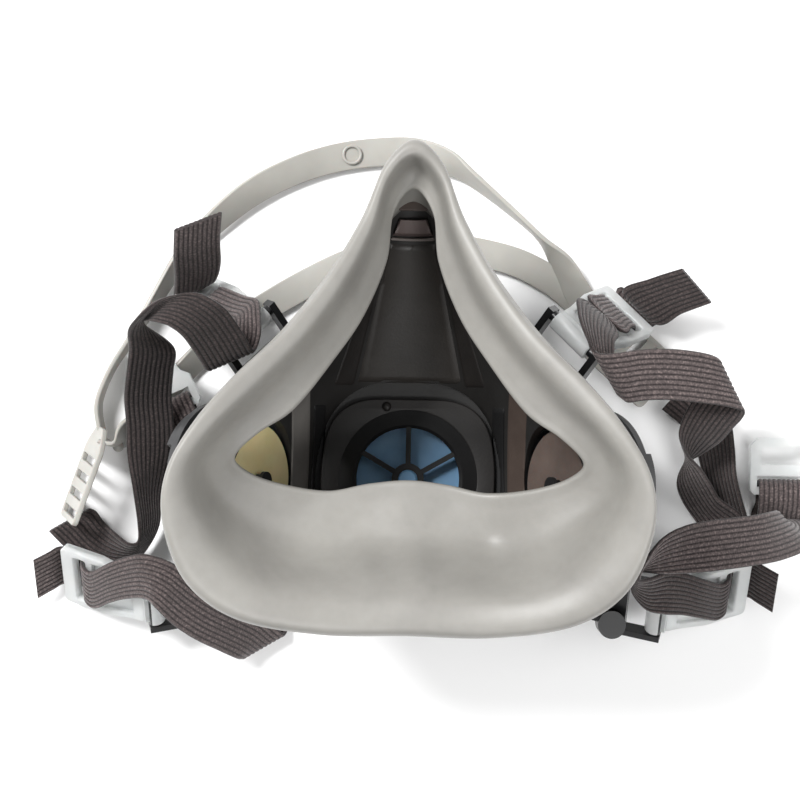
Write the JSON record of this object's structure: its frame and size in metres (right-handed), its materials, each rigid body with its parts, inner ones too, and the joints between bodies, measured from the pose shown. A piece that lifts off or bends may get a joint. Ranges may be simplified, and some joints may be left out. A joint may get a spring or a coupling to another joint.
{
  "type": "half-mask respirator",
  "caption": "Elastomeric half-mask respirator without filters: soft face seal, valves, bayonet ports, yoke, buckles, webbing straps and head cradle.",
  "frame": {"origin": "on the exhalation valve's axis, at the front face of the exhalation cover, which rests on the table", "axes": "+Z from the table to the wearer's face, +Y towards the nose, +X to the right as the wearer's side is seen"},
  "size_m": [0.2058, 0.1397, 0.0826],
  "materials": {
    "seal_elastomer": "satin",
    "body_plastic": "matte",
    "seat_plastic": "matte",
    "exhale_rubber": "matte",
    "inhale_rubber": "satin",
    "cover_plastic": "satin",
    "yoke_plastic": "gloss",
    "port_plastic": "satin",
    "gasket_rubber": "matte",
    "buckle_nylon": "satin",
    "cradle_plastic": "satin",
    "webbing_elastic": "ribbed",
    "clasp_plastic": "satin"
  },
  "bodies": {
    "mask": {"face_seal": "seal_elastomer", "facepiece_body": "body_plastic", "exhalation_seat": "seat_plastic", "exhalation_cover": "cover_plastic", "front_yoke": "yoke_plastic", "bayonet_left": "port_plastic", "bayonet_right": "port_plastic", "inhalation_seat_left": "seat_plastic", "inhalation_seat_right": "seat_plastic", "port_gasket_left": "gasket_rubber", "port_gasket_right": "gasket_rubber", "head_cradle": "cradle_plastic", "upper_strap_left": "webbing_elastic", "upper_strap_right": "webbing_elastic", "lower_strap_left": "webbing_elastic", "lower_strap_right": "webbing_elastic", "neck_clasp_hook": "clasp_plastic", "neck_clasp_loop": "clasp_plastic"},
    "exhalation_flap": {"exhalation_valve": "exhale_rubber"},
    "inhalation_flap_left": {"inhalation_valve_left": "inhale_rubber"},
    "inhalation_flap_right": {"inhalation_valve_right": "inhale_rubber"},
    "upper_left_buckle": {"buckle_upper_left": "buckle_nylon"},
    "upper_right_buckle": {"buckle_upper_right": "buckle_nylon"},
    "lower_left_buckle": {"buckle_lower_left": "buckle_nylon"},
    "lower_right_buckle": {"buckle_lower_right": "buckle_nylon"}
  },
  "joints": [
    {"name": "exhalation_flap_lift", "type": "slide", "parent": "mask", "child": "exhalation_flap", "axis": [0, 0, -1], "range_m": [0, 0.0015], "stiffness_N_per_m": 50, "springref_m": -0.0005},
    {"name": "inhalation_flap_left_lift", "type": "slide", "parent": "mask", "child": "inhalation_flap_left", "axis": [0.866, 0, 0.5], "range_m": [0, 0.0015], "stiffness_N_per_m": 50, "springref_m": -0.0005},
    {"name": "inhalation_flap_right_lift", "type": "slide", "parent": "mask", "child": "inhalation_flap_right", "axis": [-0.866, 0, 0.5], "range_m": [0, 0.0015], "stiffness_N_per_m": 50, "springref_m": -0.0005},
    {"name": "upper_left_buckle_hinge", "type": "hinge", "parent": "mask", "child": "upper_left_buckle", "pos_m": [-0.0412, 0.038, 0.025], "axis": [0.6725, 0.6725, -0.309], "range_deg": [0, 60], "deforming": ["upper_strap_left"]},
    {"name": "upper_right_buckle_hinge", "type": "hinge", "parent": "mask", "child": "upper_right_buckle", "pos_m": [0.0412, 0.038, 0.025], "axis": [0.6725, -0.6725, 0.309], "range_deg": [0, 60], "deforming": ["upper_strap_right"]},
    {"name": "lower_left_buckle_hinge", "type": "hinge", "parent": "mask", "child": "lower_left_buckle", "pos_m": [-0.065, -0.0326, 0.0165], "axis": [0, 0.8192, 0.5736], "range_deg": [-20, 60], "deforming": ["lower_strap_left"]},
    {"name": "lower_right_buckle_hinge", "type": "hinge", "parent": "mask", "child": "lower_right_buckle", "pos_m": [0.065, -0.0326, 0.0165], "axis": [0, -0.8192, -0.5736], "range_deg": [-20, 60], "deforming": ["lower_strap_right"]}
  ]
}
